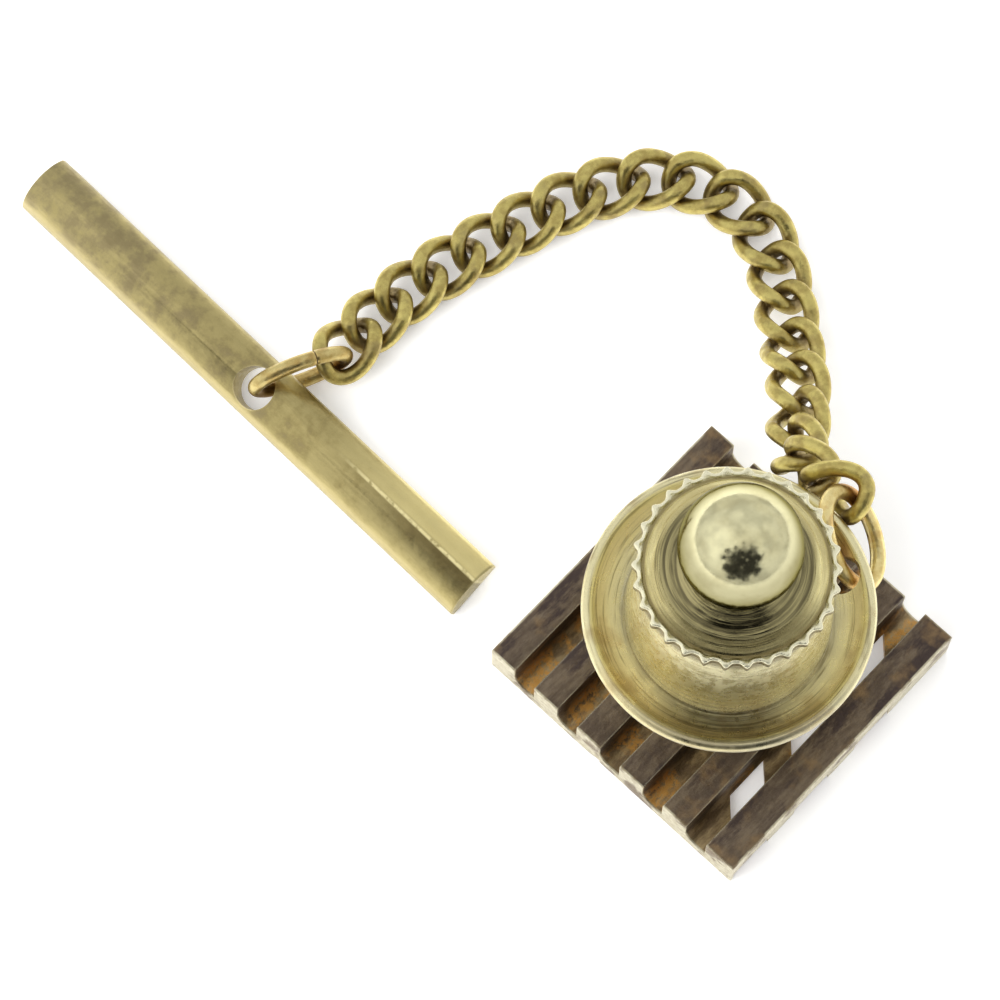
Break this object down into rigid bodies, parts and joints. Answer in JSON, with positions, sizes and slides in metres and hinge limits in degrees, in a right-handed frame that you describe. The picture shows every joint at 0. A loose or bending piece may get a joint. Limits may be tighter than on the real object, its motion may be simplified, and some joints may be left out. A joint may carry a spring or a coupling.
{
  "type": "tie tack",
  "caption": "Square ribbed tie tack ornament on a pointed pin, held by a ball-lock clutch whose rim carries a curb chain and a half-round T-bar that goes through a buttonhole.",
  "frame": {"origin": "centre of the ornament's flat front face, under the pin", "axes": "+Z along the pin, from the front face towards the clutch's knob; +X along the ribs; +Y across the ribs and roughly along the T-bar"},
  "size_m": [0.0216, 0.0389, 0.0172],
  "materials": {
    "casting": "cast, dark brown tarnish with worn bright edges and silvery side walls",
    "pin": "drawn wire, polished",
    "gold": "lathe-turned, pale gold plated, tarnished in the dish",
    "knob": "polished, worn to a pale silvery green",
    "steel": "plain",
    "chain": "worn, brown in the crevices",
    "bar": "satin, tarnished grey-brown"
  },
  "bodies": {
    "tack": {"front_plate": "casting", "pin_pad": "casting", "tack_pin": "pin"},
    "bush": {"pin_bush": "steel"},
    "clutch": {"clutch_flange": "gold", "clutch_barrel": "gold", "barrel_cap": "gold", "wedge_cone": "steel", "return_spring": "steel"},
    "knob": {"knob": "knob", "ball_cage": "steel"},
    "ball_1": {"lock_ball_1": "steel"},
    "ball_2": {"lock_ball_2": "steel"},
    "ball_3": {"lock_ball_3": "steel"},
    "ring": {"clutch_ring": "chain"},
    "link_01": {"chain_link_01": "chain"},
    "link_02": {"chain_link_02": "chain"},
    "link_03": {"chain_link_03": "chain"},
    "link_04": {"chain_link_04": "chain"},
    "link_05": {"chain_link_05": "chain"},
    "link_06": {"chain_link_06": "chain"},
    "link_07": {"chain_link_07": "chain"},
    "link_08": {"chain_link_08": "chain"},
    "link_09": {"chain_link_09": "chain"},
    "link_10": {"chain_link_10": "chain"},
    "link_11": {"chain_link_11": "chain"},
    "link_12": {"chain_link_12": "chain"},
    "link_13": {"chain_link_13": "chain"},
    "link_14": {"chain_link_14": "chain"},
    "link_15": {"chain_link_15": "chain"},
    "link_16": {"chain_link_16": "chain"},
    "link_17": {"chain_link_17": "chain"},
    "link_18": {"chain_link_18": "chain"},
    "link_19": {"chain_link_19": "chain"},
    "link_20": {"chain_link_20": "chain"},
    "bar_ring": {"bar_ring": "chain"},
    "bar": {"t_bar": "bar"}
  },
  "joints": [
    {"name": "clutch_slide", "type": "slide", "parent": "tack", "child": "bush", "axis": [0, 0, 1], "range_m": [-0.0015, 0.01]},
    {"name": "clutch_turn", "type": "hinge", "parent": "bush", "child": "clutch", "pos_m": [0, 0, 0.0062], "axis": [0, 0, 1], "continuous": true},
    {"name": "knob_pull", "type": "slide", "parent": "clutch", "child": "knob", "axis": [0, 0, 1], "range_m": [0, 0.0008], "stiffness_N_per_m": 1500, "springref_m": -0.0004, "deforming": ["return_spring"]},
    {"name": "ball_1_travel", "type": "slide", "parent": "knob", "child": "ball_1", "axis": [1, 0, 0], "range_m": [0, 0.00024]},
    {"name": "ball_2_travel", "type": "slide", "parent": "knob", "child": "ball_2", "axis": [-0.5, 0.866, 0], "range_m": [0, 0.00024]},
    {"name": "ball_3_travel", "type": "slide", "parent": "knob", "child": "ball_3", "axis": [-0.5, -0.866, 0], "range_m": [0, 0.00024]},
    {"name": "ring_swing", "type": "hinge", "parent": "clutch", "child": "ring", "pos_m": [0.00387, -0.00214, 0.00655], "axis": [0.4848, 0.8746, 0], "range_deg": [-4, 4]},
    {"name": "link_01_swing", "type": "hinge", "parent": "ring", "child": "link_01", "pos_m": [0.00637, -0.00062, 0.00736], "axis": [-0.0791, 0.5076, 0.858], "range_deg": [-3, 3]},
    {"name": "link_02_swing", "type": "hinge", "parent": "link_01", "child": "link_02", "pos_m": [0.00613, 0.00092, 0.00642], "axis": [0.9962, -0.0867, 0], "range_deg": [-5, 8]},
    {"name": "link_03_swing", "type": "hinge", "parent": "link_02", "child": "link_03", "pos_m": [0.00662, 0.00226, 0.00529], "axis": [-0.3658, -0.5795, -0.7283], "range_deg": [-8, 4]},
    {"name": "link_04_swing", "type": "hinge", "parent": "link_03", "child": "link_04", "pos_m": [0.00752, 0.00313, 0.00397], "axis": [-0.6304, 0.7763, 0], "range_deg": [-4, 8]},
    {"name": "link_05_swing", "type": "hinge", "parent": "link_04", "child": "link_05", "pos_m": [0.00886, 0.00408, 0.00319], "axis": [0.2962, 0.2564, 0.9201], "range_deg": [-8, 8]},
    {"name": "link_06_swing", "type": "hinge", "parent": "link_05", "child": "link_06", "pos_m": [0.01005, 0.00532, 0.00255], "axis": [0.7379, -0.6749, 0], "range_deg": [-8, 8]},
    {"name": "link_07_swing", "type": "hinge", "parent": "link_06", "child": "link_07", "pos_m": [0.01112, 0.00656, 0.00175], "axis": [-0.2311, -0.262, -0.937], "range_deg": [-8, 8]},
    {"name": "link_08_swing", "type": "hinge", "parent": "link_07", "child": "link_08", "pos_m": [0.0123, 0.00787, 0.00128], "axis": [-0.7721, 0.6355, 0], "range_deg": [-8, 8]},
    {"name": "link_09_swing", "type": "hinge", "parent": "link_08", "child": "link_09", "pos_m": [0.01338, 0.0093, 0.00093], "axis": [0.0732, 0.1228, 0.9897], "range_deg": [-8, 5]},
    {"name": "link_10_swing", "type": "hinge", "parent": "link_09", "child": "link_10", "pos_m": [0.01414, 0.01095, 0.00076], "axis": [0.9794, -0.2019, 0], "range_deg": [-8, 8]},
    {"name": "link_11_swing", "type": "hinge", "parent": "link_10", "child": "link_11", "pos_m": [0.0141, 0.01278, 0.00075], "axis": [0.0004, -0.002, -1], "range_deg": [-5, 8]},
    {"name": "link_12_swing", "type": "hinge", "parent": "link_11", "child": "link_12", "pos_m": [0.01337, 0.01445, 0.00075], "axis": [-0.8188, -0.574, 0], "range_deg": [-8, 8]},
    {"name": "link_13_swing", "type": "hinge", "parent": "link_12", "child": "link_13", "pos_m": [0.01205, 0.01571, 0.00075], "axis": [0, 0, 1], "range_deg": [-8, 5]},
    {"name": "link_14_swing", "type": "hinge", "parent": "link_13", "child": "link_14", "pos_m": [0.01047, 0.01662, 0.00075], "axis": [0.4457, 0.8952, 0], "range_deg": [-8, 8]},
    {"name": "link_15_swing", "type": "hinge", "parent": "link_14", "child": "link_15", "pos_m": [0.00879, 0.01733, 0.00075], "axis": [0, 0, -1], "range_deg": [-8, 8]},
    {"name": "link_16_swing", "type": "hinge", "parent": "link_15", "child": "link_16", "pos_m": [0.00703, 0.01783, 0.00075], "axis": [-0.2838, -0.9589, 0], "range_deg": [-8, 8]},
    {"name": "link_17_swing", "type": "hinge", "parent": "link_16", "child": "link_17", "pos_m": [0.00528, 0.01837, 0.00075], "axis": [0.0016, -0.0004, 1], "range_deg": [-8, 8]},
    {"name": "link_18_swing", "type": "hinge", "parent": "link_17", "child": "link_18", "pos_m": [0.00351, 0.01881, 0.00076], "axis": [0.1983, 0.9801, 0], "range_deg": [-8, 8]},
    {"name": "link_19_swing", "type": "hinge", "parent": "link_18", "child": "link_19", "pos_m": [0.00171, 0.01909, 0.00082], "axis": [-0.0645, 0.0053, -0.9979], "range_deg": [-8, 8]},
    {"name": "link_20_swing", "type": "hinge", "parent": "link_19", "child": "link_20", "pos_m": [-0.00011, 0.01911, 0.00099], "axis": [0.0453, -0.999, 0], "range_deg": [-8, 8]},
    {"name": "bar_ring_swing", "type": "hinge", "parent": "link_20", "child": "bar_ring", "pos_m": [-0.00187, 0.01893, 0.00136], "axis": [0, 0, 1], "range_deg": [-4, 8]},
    {"name": "bar_swing", "type": "hinge", "parent": "bar_ring", "child": "bar", "pos_m": [-0.00438, 0.0203, 0.0009], "axis": [0, 0, 1], "range_deg": [-10, 10]}
  ],
  "couplings": [
    {"joint": "ball_1_travel", "follows": "knob_pull", "ratio": 0.3},
    {"joint": "ball_2_travel", "follows": "knob_pull", "ratio": 0.3},
    {"joint": "ball_3_travel", "follows": "knob_pull", "ratio": 0.3}
  ]
}
